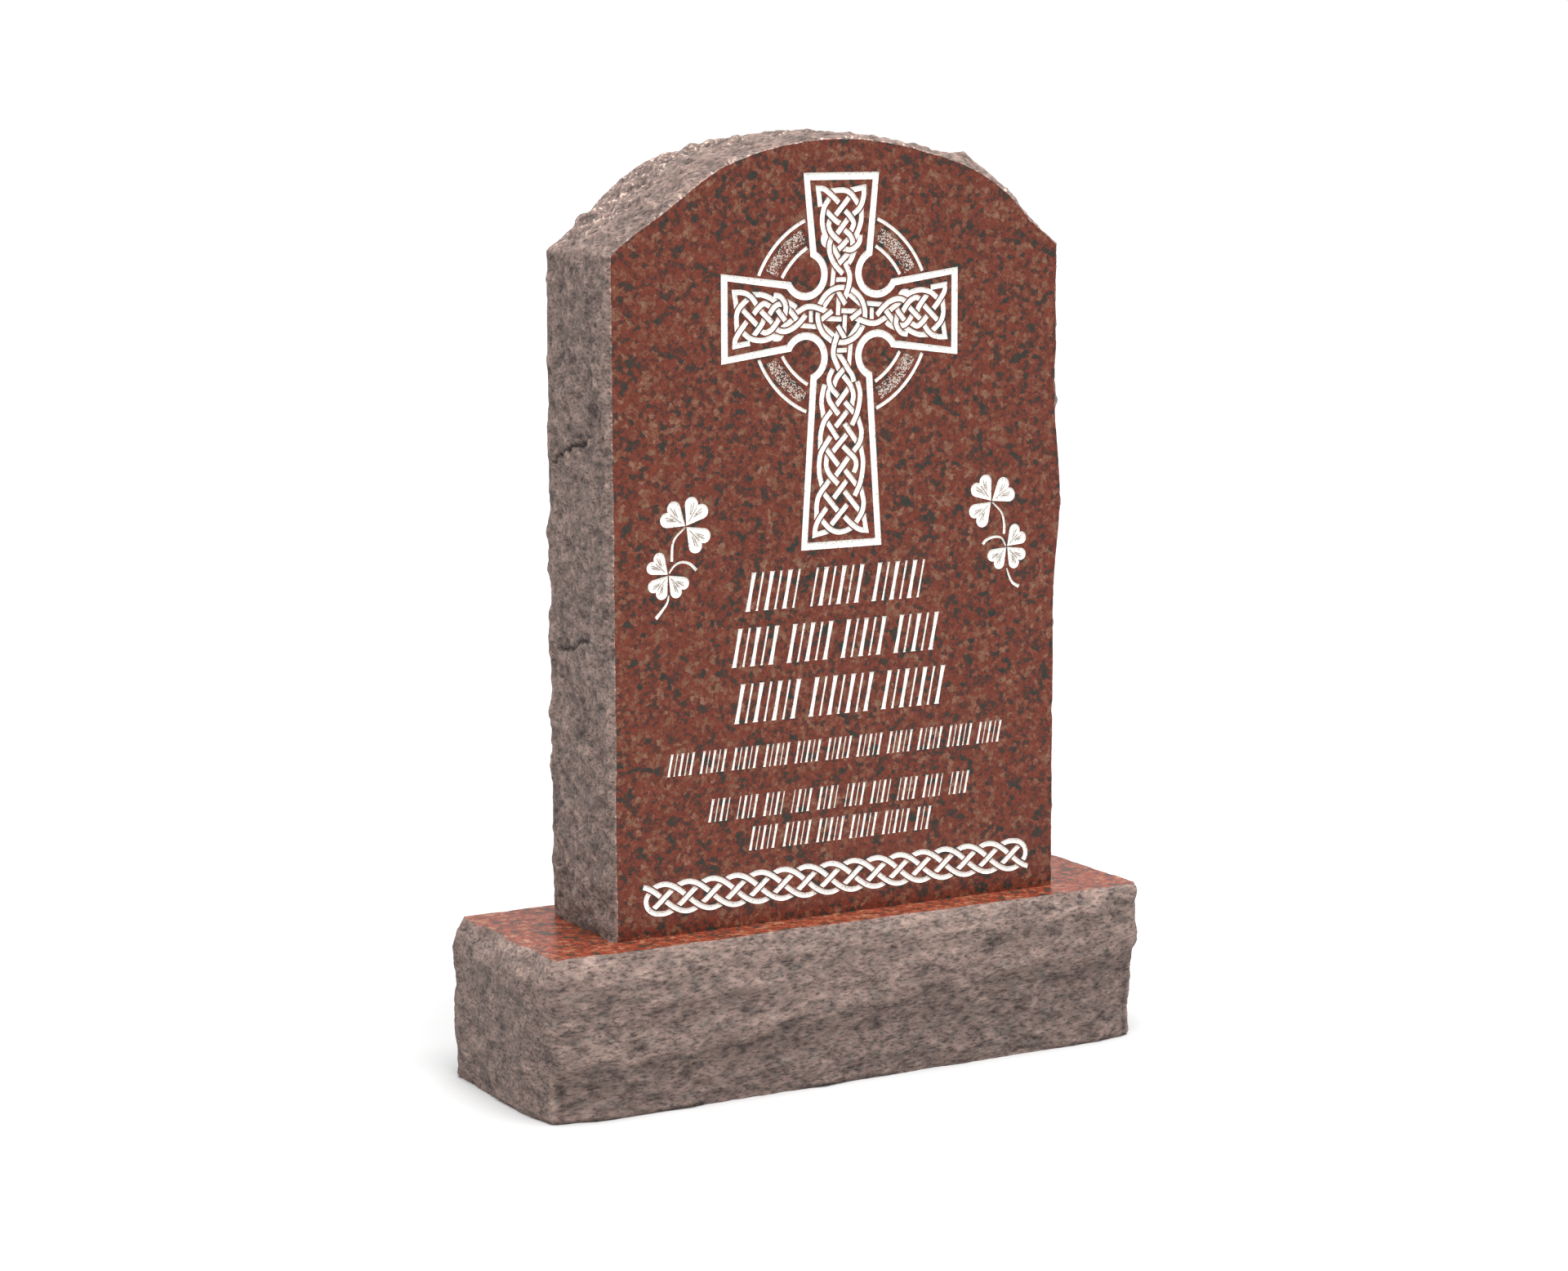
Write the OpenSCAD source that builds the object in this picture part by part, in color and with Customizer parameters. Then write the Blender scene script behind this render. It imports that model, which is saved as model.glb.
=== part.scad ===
// Celtic cross headstone: an upright granite tablet with an arched top, standing on a wider granite base.
// Millimetres, +Z up. The front faces -Y, and the origin is the centre of the base's underside.

/* [Tablet] */
// Width of the tablet's polished front
tablet_w = 598; // [480:1:760]
// Thickness of the tablet between its polished front and back
tablet_t = 165; // [120:1:200]
// Height of the tablet's shoulders above the base
shoulder_h = 784; // [650:1:1000]
// Rise of the arched top above the shoulders
arch_rise = 131; // [90:1:180]
// How far the rock-pitched sides and top swell beyond the polished faces
tablet_swell = 12; // [4:1:24]

/* [Base] */
// Width of the base's polished top
base_w = 808; // [700:1:1000]
// Depth of the base's polished top
base_d = 256; // [230:1:340]
// Height of the base
base_h = 194; // [140:1:260]
// How far the rock-pitched sides of the base swell beyond its polished top
base_swell = 20; // [6:1:34]
// How far the foot of the base is cut back under the swell
base_undercut = 7; // [0:1:15]
// Radius of the base's upright corners
base_corner_r = 14; // [6:1:30]

/* [Rock-pitched stone] */
// Spacing of the facets along the rough faces
facet = 17; // [15:1:40]
// Number of facets from edge to edge across a rough face
facet_rows = 9; // [6:1:14]
// Deepest nibble out of an arris where rough and polished faces meet
nibble = 5; // [1:0.5:10]
// Depth of the large spall off the left haunch of the arch
haunch_spall = 12; // [0:1:20]

/* [Carving] */
// Depth of the painted carving
carve_d = 2; // [1:0.5:4]
// Depth of the stippled band of the ring
stipple_d = 1; // [0.5:0.5:2]
// Width of a knotwork strand
strand_w = 6.8; // [4:0.1:9]
// Gap that a strand leaves on each side of the strand that it passes under
strand_gap = 1.5; // [1:0.1:3]
// Length of one crossing of the cross's plaits
plait_pitch = 27; // [24:1:34]

/* [Cross] */
// Overall height of the cross
cross_h = 436; // [360:1:470]
// Overall width of the cross
cross_w = 318; // [260:1:360]
// Length of the cross's top arm above the crossing's centre
cross_top = 164; // [140:1:190]
// Stone left between the top of the cross and the top of the tablet
cross_margin = 41; // [20:1:80]
// Width of the top arm at its end
top_end_w = 101; // [80:1:120]
// Width of the foot at its end
foot_end_w = 109; // [80:1:130]
// Height of the side arms at their ends
side_end_w = 103; // [80:1:120]
// Width of the upright at the crossing
upright_waist = 83; // [70:1:90]
// Height of the cross-bar at the crossing
bar_waist = 80; // [70:1:90]
// Width of the band around the cross
band_w = 8.5; // [5:0.5:12]
// Distance of each armpit's centre from the centre lines
armpit_at = 48; // [44:1:54]
// Radius of the armpits
armpit_r = 21; // [14:1:24]
// Outer radius of the ring
ring_r = 122; // [110:1:135]
// Width of the ring
ring_w = 33; // [24:1:44]
// Width of the ring's two lines
ring_line_w = 4; // [2:0.5:7]
// Stone left between the ring's lines and the band around the cross
ring_gap = 3; // [1:0.5:5]
// Stone left between the ring's lines and its stippled band
stipple_gap = 5; // [2:0.5:6]

/* [Panels] */
// Margin from the knot border to the tablet's edge
border_margin = 34; // [20:1:60]
// Height of the knot border's lower edge above the base
border_at = 24; // [15:1:60]
// Height of the knot border
border_h = 41; // [30:1:55]
// Length of one repeat of the knot border
border_repeat = 32; // [28:1:44]
// Stone left between the border, the rows of strokes and the foot of the cross
row_margin = 25; // [10:1:40]
// Width of a stroke of the rows
stroke_w = 5; // [3:0.5:7]
// Distance from one stroke to the next
stroke_pitch = 12.5; // [9:0.5:20]
// Distance of the shamrock sprigs' stems from the tablet's centre line
sprig_at = 219; // [190:1:230]
// Length of a leaf of the upper shamrocks
leaf_len = 35; // [24:1:40]

/* [Hidden] */
$fn = 96;

stone_colour = "#7d4a40";
overlap = 1;
crown = shoulder_h + arch_rise;
arch_r = (pow(tablet_w / 2, 2) + pow(arch_rise, 2)) / (2 * arch_rise);
arch_half = asin(tablet_w / 2 / arch_r);
arch_len = arch_r * arch_half * PI / 90;
edge_len = 2 * shoulder_h + arch_len;
edge_steps = round(edge_len / facet);
cross_z = crown - cross_margin - cross_top;
cross_foot = cross_h - cross_top;
knot_edge = band_w + strand_w;
border_w = tablet_w - 2 * border_margin;

// ---- rough stone ----

// A repeatable number from 0 to 1 for each corner of a lattice.
function lattice(i, j, k) = let (v = 437.585 * sin(i * 127.1 + j * 311.7 + k * 74.7)) v - floor(v);
function ease(t) = t * t * (3 - 2 * t);
function mix(a, b, t) = a + (b - a) * t;

// Smooth noise from 0 to 1: the lattice's four nearest corners, eased into each other.
function noise(x, y, k) =
    let (i = floor(x), j = floor(y), u = ease(x - i), v = ease(y - j))
    mix(mix(lattice(i, j, k), lattice(i + 1, j, k), u),
        mix(lattice(i, j + 1, k), lattice(i + 1, j + 1, k), u), v);

// Three sizes of noise together, from the broad spalls down to the small facets.
function rough(x, y, k) =
    0.55 * noise(x / 95, y / 75, k) + 0.3 * noise(x / 41, y / 33, k + 5) + 0.15 * noise(x / 19, y / 17, k + 9);

// A smooth hump of height 1 around c that ends w away from it.
function hump(x, c, w) = abs(x - c) >= w ? 0 : pow(cos(90 * (x - c) / w), 2);

// Rings of points joined into one closed skin: each ring runs clockwise seen from the first one's side.
module skin(rings) {
    n = len(rings[0]);
    last = len(rings) - 1;
    polyhedron(
        points = [for (ring = rings) each ring],
        faces = concat(
            [[for (i = [0 : n - 1]) i]],
            [[for (i = [n - 1 : -1 : 0]) last * n + i]],
            [for (j = [0 : last - 1]) for (i = [0 : n - 1]) let (a = j * n + i, b = j * n + (i + 1) % n)
                each [[a, a + n, b + n], [a, b + n, b]]]));
}

// ---- tablet ----

// Point and outward direction of the tablet's outline, s along it from the left foot over the top.
function outline(s) =
    s <= shoulder_h ? [-tablet_w / 2, s, -1, 0]
    : s >= shoulder_h + arch_len ? [tablet_w / 2, edge_len - s, 1, 0]
    : let (a = -arch_half + (s - shoulder_h) * 180 / (PI * arch_r))
        [arch_r * sin(a), crown - arch_r + arch_r * cos(a), sin(a), cos(a)];

// How far the arris stands in from the ideal outline: nibbles, and the haunches' broad loss and gain.
function arris(s, k) =
    -nibble * pow(noise(s / 37, 0.5, k), 2)
    - haunch_spall * hump(s, shoulder_h + arch_len * 0.13, arch_len * 0.14)
    + haunch_spall / 2 * hump(s, edge_len - shoulder_h - arch_len * 0.1, arch_len * 0.16);

// One ring of the tablet at the share t of its thickness, from the front to the back.
function tablet_ring(t) = [
    for (i = [0 : edge_steps])
        let (
            s = edge_len * i / edge_steps,
            o = outline(s),
            swell = tablet_swell * pow(4 * t * (1 - t), 0.6) * (0.3 + 0.7 * rough(s, t * tablet_t, 2)),
            out = mix(arris(s, 3), arris(s, 13), t) + swell)
        [o[0] + out * o[2], (t - 0.5) * tablet_t, max(0, o[1] + out * o[3])]
];

module tablet_stone() skin([for (j = [0 : facet_rows]) tablet_ring(j / facet_rows)]);

// Cuts a flat drawing, x across and y up from the foot of the tablet, into the front to the depth d.
module carve(d) translate([0, -tablet_t / 2 + d, 0]) rotate([90, 0, 0]) linear_extrude(d + overlap) children();

// ---- strands and leaves ----

function unit(v) = v / norm(v);

// The outline of a strip of width w along the points p.
function strip(p, w) =
    let (
        n = len(p) - 1,
        side = [for (i = [0 : n]) let (d = unit(p[min(i + 1, n)] - p[max(i - 1, 0)])) [-d[1], d[0]] * w / 2])
    concat([for (i = [0 : n]) p[i] + side[i]], [for (i = [n : -1 : 0]) p[i] - side[i]]);

// A quadratic curve from a to c that is drawn towards b.
function bow(a, b, c, steps = 6) =
    [for (i = [0 : steps]) let (t = i / steps) pow(1 - t, 2) * a + 2 * t * (1 - t) * b + t * t * c];

module strand(points, w = strand_w) polygon(strip(points, w));

// Sideways place of a plait's strand, -1 to 1, u steps along it; each strand crosses over in count steps.
function sway(u, count) = let (a = 180 * u / count) (sin(a) - 0.07 * sin(3 * a)) / 1.07;

// A plait along +y: it crosses itself every pitch. In each run of 2 * count steps a strand shows between
// the crossings where it dives under, and these are listed in cuts.
module plait(length, pitch, half_start, half_end, count, cuts) {
    turns = round(length / pitch);
    step = length / turns;
    clear = (strand_w + 2 * strand_gap) / pitch / 1.75;
    for (phase = [-2 * count : turns], c = [0 : len(cuts) - 2]) {
        from = max(phase + cuts[c] + clear, 0.15);
        to = min(phase + cuts[c + 1] - clear, turns - 0.15);
        if (to - from > 0.3)
            strand([
                for (i = [0 : 7])
                    let (y = mix(from, to, i / 7), half = mix(half_start, half_end, y / turns))
                    [half * sway(y - phase, count), y * step]
            ]);
    }
}

module wide_plait(length, half_start, half_end)
    plait(length, plait_pitch, half_start - strand_w / 2, half_end - strand_w / 2, 3, [-0.5, 0.5, 2, 3, 4, 5.5]);

// A heart-shaped leaf of length 1 from its stem at the origin along +x: two round lobes and their tangents.
lobe = [0.72, 0.225];
lobe_r = 0.25;
lobe_start = atan2(lobe[1], lobe[0]) + asin(lobe_r / norm(lobe)) + 90;
lobe_end = -acos(sqrt(pow(lobe_r, 2) - pow(lobe[1], 2)) / lobe_r);
function lobe_points(sign) = [
    for (i = [0 : 9]) let (a = mix(lobe_start, lobe_end, i / 9))
        [lobe[0] + lobe_r * cos(a), sign * (lobe[1] + lobe_r * sin(a))]
];
leaf_outline = concat([[0.04, 0]], lobe_points(1), [for (i = [8 : -1 : 0]) lobe_points(-1)[i]]);

module shamrock(at, length, angles)
    for (a = angles) translate(at) rotate(a) polygon(length * leaf_outline);

// ---- the ringed cross, drawn around its own centre ----

module cross_plate(inset) {
    t = cross_top - inset;
    f = cross_foot - inset;
    s = cross_w / 2 - inset;
    u = upright_waist / 2 - inset;
    b = bar_waist / 2 - inset;
    te = top_end_w / 2 - inset;
    fe = foot_end_w / 2 - inset;
    se = side_end_w / 2 - inset;
    root = armpit_at + armpit_r;
    difference() {
        union() {
            polygon([[-te, t], [te, t], [u, root], [u, -root], [fe, -f], [-fe, -f], [-u, -root], [-u, root]]);
            polygon([[s, se], [s, -se], [root, -b], [-root, -b], [-s, -se], [-s, se], [-root, b], [root, b]]);
        }
        for (x = [-1, 1], y = [-1, 1]) translate([x, y] * armpit_at) circle(armpit_r + inset);
    }
}

module cross_band() difference() {
    cross_plate(0);
    cross_plate(band_w);
}

module ring_part(outer, inner, clear) difference() {
    circle(outer);
    circle(inner);
    cross_plate(-clear);
}

module ring_lines() {
    ring_part(ring_r, ring_r - ring_line_w, ring_gap);
    ring_part(ring_r - ring_w + ring_line_w, ring_r - ring_w, ring_gap);
}

module ring_stipple() let (edge = ring_line_w + stipple_gap)
    ring_part(ring_r - edge, ring_r - ring_w + edge, 2 * ring_gap);

// The knot of the crossing: a round strand that each arm's strands pass over and under, woven in the middle.
module centre_knot() for (turn = [0 : 90 : 270]) rotate(turn) {
    strand([for (a = [86 : 11 : 152]) 32 * [cos(a), sin(a)]]);
    strand(bow([6, 24], [15, 42], [6, 57]));
    strand([[-7, 25], [5, 13]]);
    strand([[14, 22], [20, 16]], strand_w - 1);
    strand([[-4.5, 15], [-4.5, 2]], strand_w - 1);
    strand([[-12, 39], [-12, 50]], strand_w - 1);
    strand([[-7.5, 41], [6, 41]], strand_w - 1);
}

module arm_knots() {
    root = armpit_at + armpit_r / 2;
    narrow = bar_waist / 2 - knot_edge - strand_w / 2;
    foot = cross_foot - band_w - strand_w - root;
    top = cross_top - band_w - strand_w - root;
    side = cross_w / 2 - band_w - strand_w - root;
    rotate(180) translate([0, root]) wide_plait(foot, narrow, foot_end_w / 2 - knot_edge);
    translate([0, root]) wide_plait(top, narrow, top_end_w / 2 - knot_edge);
    for (turn = [-90, 90])
        rotate(turn) translate([0, root]) wide_plait(side, narrow, side_end_w / 2 - knot_edge);
}

// ---- panels of the face ----

// Rows of slanted strokes fill the space between the border and the foot of the cross.
rows_low = border_at + border_h + row_margin;
rows_high = cross_z - cross_foot - row_margin;
// Each row: its middle and height as shares of the space, its length, and the strokes in each group.
rows = [
    [0.94, 0.14, 252, 7], [0.742, 0.14, 284, 6], [0.539, 0.14, 280, 8],
    [0.341, 0.084, 458, 5], [0.161, 0.084, 352, 4], [0.042, 0.084, 242, 6]
];
stroke_lean = 0.22;

module stroke_row(row) {
    h = row[1] * (rows_high - rows_low);
    z = mix(rows_low, rows_high, row[0]);
    steps = floor(row[2] / stroke_pitch);
    for (i = [0 : steps]) if (i % row[3] != row[3] - 1)
        translate([(i - steps / 2) * stroke_pitch, z])
            strand([[-h * stroke_lean / 2, -h / 2], [h * stroke_lean / 2, h / 2]], stroke_w);
}

module knot_border() translate([-border_w / 2, border_at + border_h / 2]) rotate(-90)
    plait(border_w, border_repeat, border_h / 2 - strand_w / 2, border_h / 2 - strand_w / 2, 2,
        [0, 1.5, 2.5, 4]);

// One sprig, drawn for the right side with its stem's root line at x = 0 and its upper shamrock at y = 0.
module sprig() {
    low = leaf_len * 0.85;
    shamrock([-8, 0], leaf_len, [127, 33, 222]);
    shamrock([12, -56], low, [43, 223, -45]);
    strand(bow([-5, -4], [10, -18], [9, -39]), 3);
    strand(bow([9, -53], [-4, -36], [-22, -51]), 3.5);
    strand(bow([13, -84], [16, -102], [29, -106]), 3.5);
}

module sprigs() for (side = [-1, 1])
    translate([side * sprig_at, cross_z - cross_foot + 34]) mirror([side < 0 ? 1 : 0, 0, 0]) sprig();

module tablet() color(stone_colour) translate([0, 0, base_h]) difference() {
    tablet_stone();
    carve(carve_d) translate([0, cross_z]) {
        cross_band();
        ring_lines();
        centre_knot();
        arm_knots();
    }
    carve(stipple_d) translate([0, cross_z]) ring_stipple();
    carve(carve_d) {
        sprigs();
        knot_border();
        for (row = rows) stroke_row(row);
    }
}

// ---- base ----

// Places and outward directions around the base's top, clockwise seen from above.
function side_run(from, to, dir) =
    let (n = max(1, round(norm(to - from) / facet)))
    [for (i = [0 : n - 1]) let (p = mix(from, to, i / n)) [p[0], p[1], dir[0], dir[1]]];
function corner_run(c, start) = [
    for (i = [0 : 3]) let (a = start - 22.5 * i)
        [c[0] + base_corner_r * cos(a), c[1] + base_corner_r * sin(a), cos(a), sin(a)]
];
bx = base_w / 2 - base_corner_r;
by = base_d / 2 - base_corner_r;
base_loop = concat(
    corner_run([-bx, by], 180), side_run([-bx, by + base_corner_r], [bx, by + base_corner_r], [0, 1]),
    corner_run([bx, by], 90), side_run([bx + base_corner_r, by], [bx + base_corner_r, -by], [1, 0]),
    corner_run([bx, -by], 0), side_run([bx, -by - base_corner_r], [-bx, -by - base_corner_r], [0, -1]),
    corner_run([-bx, -by], -90), side_run([-bx - base_corner_r, -by], [-bx - base_corner_r, by], [-1, 0]));

// One ring of the base at the share t of its height, from the top down.
function base_ring(t) = [
    for (p = base_loop)
        let (
            along = p[0] * 1.03 + p[1] * 2.71,
            swell = base_swell * pow(sin(180 * t), 0.6) * (0.25 + 0.75 * rough(along, t * base_h, 21)),
            worn = nibble * pow(2 * t - 1, 2) * pow(noise(along / 43, t, 31), 2),
            out = swell - worn - base_undercut * pow(t, 3))
        [p[0] + out * p[2], p[1] + out * p[3], base_h * (1 - t)]
];

// The rough sides reach equally far to both sides of the origin.
module base() {
    rings = [for (j = [0 : facet_rows]) base_ring(j / facet_rows)];
    all = [for (ring = rings) each ring];
    mid = [for (k = [0, 1]) (max([for (p = all) p[k]]) + min([for (p = all) p[k]])) / 2];
    color(stone_colour) translate([-mid[0], -mid[1], 0]) skin(rings);
}

tablet();
base();
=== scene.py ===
import math

import bpy
import numpy as np
from mathutils import Matrix, Vector
from mathutils.geometry import delaunay_2d_cdt


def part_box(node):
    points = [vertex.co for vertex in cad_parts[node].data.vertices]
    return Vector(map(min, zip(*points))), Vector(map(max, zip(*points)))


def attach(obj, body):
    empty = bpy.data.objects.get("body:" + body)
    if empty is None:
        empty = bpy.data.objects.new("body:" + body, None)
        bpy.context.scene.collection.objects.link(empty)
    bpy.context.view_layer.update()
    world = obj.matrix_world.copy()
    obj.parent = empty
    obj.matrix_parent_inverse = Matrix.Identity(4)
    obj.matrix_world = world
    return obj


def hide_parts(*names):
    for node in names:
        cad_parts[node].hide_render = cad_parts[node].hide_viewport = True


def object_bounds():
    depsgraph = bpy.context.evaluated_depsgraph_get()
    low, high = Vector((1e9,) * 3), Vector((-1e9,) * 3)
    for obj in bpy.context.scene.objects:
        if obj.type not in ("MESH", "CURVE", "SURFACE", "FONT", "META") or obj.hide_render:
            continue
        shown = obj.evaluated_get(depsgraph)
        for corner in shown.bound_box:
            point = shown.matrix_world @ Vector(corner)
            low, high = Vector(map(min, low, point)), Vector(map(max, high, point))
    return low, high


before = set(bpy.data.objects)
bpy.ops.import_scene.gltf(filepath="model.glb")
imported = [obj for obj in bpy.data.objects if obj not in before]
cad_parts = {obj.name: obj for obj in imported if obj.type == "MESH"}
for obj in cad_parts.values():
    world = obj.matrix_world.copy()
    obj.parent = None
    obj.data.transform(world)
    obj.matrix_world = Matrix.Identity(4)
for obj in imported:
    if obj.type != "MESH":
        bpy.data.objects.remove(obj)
cadBox = [list(corner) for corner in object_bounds()]
mm = 0.001  # everything is drawn in millimetres and made in metres
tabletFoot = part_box("tablet")[0].z / mm
print("frame loaded: the tablet stands", round(tabletFoot, 1), "mm up")

# azimuth 0 looks straight at the carved face, and a negative one moves the camera to its left
cameraSet = {"azimuth": -29.53, "elevation": 8.77, "roll": -0.14, "distance": 4.2394, "lens": 81.29,
             "aim": (0.0, 0.0, 0.494), "aimRight": -0.0270, "aimUp": 0.0226}


# The camera looks at a point a little right of and above aim, from distance away along azimuth and elevation.
def makeCamera(c):
    a, e, r = (math.radians(c[k]) for k in ("azimuth", "elevation", "roll"))
    back = Vector((math.sin(a) * math.cos(e), -math.cos(a) * math.cos(e), math.sin(e)))
    flat = (-back).cross(Vector((0, 0, 1))).normalized()
    upright = flat.cross(-back)
    right = math.cos(r) * flat + math.sin(r) * upright
    up = math.cos(r) * upright - math.sin(r) * flat
    aim = Vector(c["aim"]) + c["aimRight"] * right + c["aimUp"] * up
    cam = bpy.data.objects.new("camera", bpy.data.cameras.new("camera"))
    cam.data.lens = c["lens"]
    cam.data.clip_end = 100
    turn = Matrix((right, up, back)).transposed().to_4x4()
    cam.matrix_world = Matrix.Translation(aim + c["distance"] * back) @ turn
    bpy.context.scene.collection.objects.link(cam)
    bpy.context.scene.camera = cam


makeCamera(cameraSet)


# A repeatable whole number for each corner of a lattice: its three counts and the seed, multiplied and mixed.
def latticeHash(corner, seed):
    i, j, k = corner.T
    h = (i * 73856093 ^ j * 19349663 ^ k * 83492791 ^ seed * 2654435761) & 0xffffffff
    h = ((h ^ h >> 16) * 0x45d9f3b) & 0xffffffff
    h = ((h ^ h >> 16) * 0x45d9f3b) & 0xffffffff
    return h ^ h >> 16


# Smooth noise of about -1 to 1: each corner of the unit cube round a point has its own slope, and the eight
# slopes' heights at the point are eased into each other by 6t^5 - 15t^4 + 10t^3.
def noise(p, seed):
    cell = np.floor(p).astype(np.int64)
    f = p - cell
    u = f * f * f * (f * (f * 6 - 15) + 10)
    total = np.zeros(len(p))
    for c in range(8):
        d = np.array([c & 1, c >> 1 & 1, c >> 2])
        h = latticeHash(cell + d, seed)
        slope = np.stack([h & 1023, h >> 10 & 1023, h >> 20 & 1023], -1) / 511.5 - 1
        total += np.prod(np.where(d == 1, u, 1 - u), -1) * np.sum(slope * (f - d), -1)
    return total * 1.4


# Fractal noise: layers of noise, each half the size of the one before and keep times as strong.
def fractal(p, size, layers, seed, keep=0.5):
    return sum(keep ** n * noise(p / size * 2 ** n + 17.3 * n, seed + n) for n in range(layers))


# Chisel scars: the lowest of many shallow bowls h + r^2 / (2 R), each about its own centre, so that bowls
# meet in sharp ridges; 0 at the bottom of the deepest.
def scars(q, centres, radius, lift):
    low = np.full(len(q), 1e9)
    for c, r, h in zip(centres, radius, lift):
        np.minimum(low, h + np.sum((q - c) ** 2, -1) / (2 * r), out=low)
    return low


# Scattered centres for scars: one in each cell of a jittered grid over the two ranges.
def scatter(rng, rangeA, rangeB, size):
    a, b = (np.arange(r[0] - size, r[1] + size, size) for r in (rangeA, rangeB))
    grid = np.stack(np.meshgrid(a, b, indexing="ij"), -1).reshape(-1, 2)
    return grid + rng.uniform(0, size, grid.shape)


# From 0 to 1 as x goes from a to b, level at both ends.
def ramp01(x, a, b):
    t = np.clip((x - a) / (b - a), 0, 1)
    return t * t * (3 - 2 * t)


# Parts are (points, faces, material number, wear and painted light at each point); where their edges' points
# are the same they are merged, so that the parts close into one skin.
def makeStone(name, parts, materials):
    points = np.concatenate([p[0] for p in parts])
    wearAndPaintedLight = np.concatenate([p[3] for p in parts])
    start = np.cumsum([0] + [len(p[0]) for p in parts])
    _, first, merged = np.unique(np.round(points, 3), axis=0, return_index=True, return_inverse=True)
    merged = merged.reshape(-1)
    faces, kinds = [], []
    for part, s in zip(parts, start):
        found = merged[np.asarray(part[1]) + s]
        whole = np.ones(len(found), bool)
        for n in range(found.shape[1]):
            whole &= found[:, n] != found[:, n - 1]
        faces += found[whole].tolist()
        kinds.append(np.broadcast_to(part[2], len(found))[whole])
    mesh = bpy.data.meshes.new(name)
    mesh.from_pydata((points[first] * mm).tolist(), [], faces)
    mesh.polygons.foreach_set("material_index", np.concatenate(kinds).astype(np.int32))
    mesh.polygons.foreach_set("use_smooth", np.ones(len(faces), bool))
    mesh.attributes.new("wearAndPaintedLight", "FLOAT", "POINT").data.foreach_set("value", wearAndPaintedLight[first].astype(np.float32))
    for m in materials:
        mesh.materials.append(m)
    mesh.set_sharp_from_angle(angle=math.radians(38))
    mesh.validate()
    piece = bpy.data.objects.new(name, mesh)
    bpy.context.scene.collection.objects.link(piece)
    return piece


# The faces of a grid of n by m points, wound so that they face along a cross b; the last row joins the first
# when it is closed.
def gridFaces(n, m, closed=False):
    i, j = np.meshgrid(np.arange(n if closed else n - 1), np.arange(m - 1), indexing="ij")
    k = (i + 1) % n
    return np.stack([i * m + j, k * m + j, k * m + j + 1, i * m + j + 1], -1).reshape(-1, 4)


# The area inside a loop by the sum of its points' cross products, below 0 when it runs clockwise.
def loopArea(q):
    return np.sum(q[:, 0] * np.roll(q[:, 1], -1) - q[:, 1] * np.roll(q[:, 0], -1)) / 2


# A flat face filled with triangles: loops of points are cut into each other, each triangle is told which
# loops it is inside, and those outside the first loop, in its dents, are dropped. Returns the points, the
# triangles and a table of triangle by loop.
def fillLoops(loops):
    loops = [q if loopArea(q) > 0 else q[::-1] for q in loops]
    counts = [len(q) for q in loops]
    starts = np.cumsum([0] + counts)
    given = np.concatenate(loops)
    rings = [list(range(s, s + c)) for s, c in zip(starts, counts)]
    out = delaunay_2d_cdt([Vector(q) for q in given.tolist()], [], rings, 1, 1e-4, True)
    points = np.array([tuple(v) for v in out[0]])
    same = [o[0] if o else -1 for o in out[3]]
    known = np.array(same) >= 0
    points[known] = given[np.array(same)[known]]
    triangles = np.array(out[2])
    inside = np.zeros((len(triangles), len(loops)), bool)
    row = np.repeat(np.arange(len(triangles)), [len(o) for o in out[5]])
    inside[row, np.concatenate(out[5]).astype(int)] = True
    kept = inside[:, 0]
    triangles, inside = triangles[kept], inside[kept]
    a, b, c = (points[triangles[:, n]] for n in range(3))
    turn = (b[:, 0] - a[:, 0]) * (c[:, 1] - a[:, 1]) - (b[:, 1] - a[:, 1]) * (c[:, 0] - a[:, 0])
    triangles[turn < 0] = triangles[turn < 0][:, ::-1]
    return points, triangles, inside


# Strands of the knotwork. An end is carried on by reach to the strand that it dives under: one that passes
# within near of it, further than room from its own ends, and across it by that sine or more.
knotSet = {"width": 6.1, "gap": 1.75, "reach": 5.0, "step": 1.6, "fineStep": 0.5, "search": 9.0, "near": 5.5,
           "room": 1.2, "across": 0.42, "span": 13.0, "onward": 0.6, "sideFrom": 60.0, "sideShare": 0.945}


# A smooth line through the points: between neighbours it is the cubic whose slopes join the points before
# and after (Catmull and Rom). A point given twice is a corner.
def smoothLine(points, step=None):
    step = step or knotSet["step"]
    p = np.array(points, float)
    breaks = [0] + [i + 1 for i in range(len(p) - 1) if np.allclose(p[i], p[i + 1])] + [len(p)]
    runs = []
    for a, b in zip(breaks, breaks[1:]):
        q = p[a:b]
        q = np.vstack([2 * q[0] - q[1], q, 2 * q[-1] - q[-2]])
        for i in range(1, len(q) - 2):
            n = max(1, int(round(np.linalg.norm(q[i + 1] - q[i]) / step))) if len(p) > 2 else 1
            t = np.arange(n)[:, None] / n
            runs.append(0.5 * (2 * q[i] + (q[i + 1] - q[i - 1]) * t
                               + (2 * q[i - 1] - 5 * q[i] + 4 * q[i + 1] - q[i + 2]) * t ** 2
                               + (3 * q[i] - q[i - 1] - 3 * q[i + 1] + q[i + 2]) * t ** 3))
    return np.vstack(runs + [p[-1:]])


# The outline of a ribbon: the line moved half the width to each side along its mitred normals.
def ribbon(line, width):
    d = np.diff(line, axis=0)
    d /= np.linalg.norm(d, axis=1)[:, None]
    n = np.stack([-d[:, 1], d[:, 0]], -1)
    before, after = np.vstack([n[:1], n]), np.vstack([n, n[-1:]])
    mitre = (before + after) / np.maximum(0.4, 1 + np.sum(before * after, -1))[:, None]
    half = np.asarray(width, float).reshape(-1, 1) / 2
    return np.vstack([line + mitre * half, (line - mitre * half)[::-1]])


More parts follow.
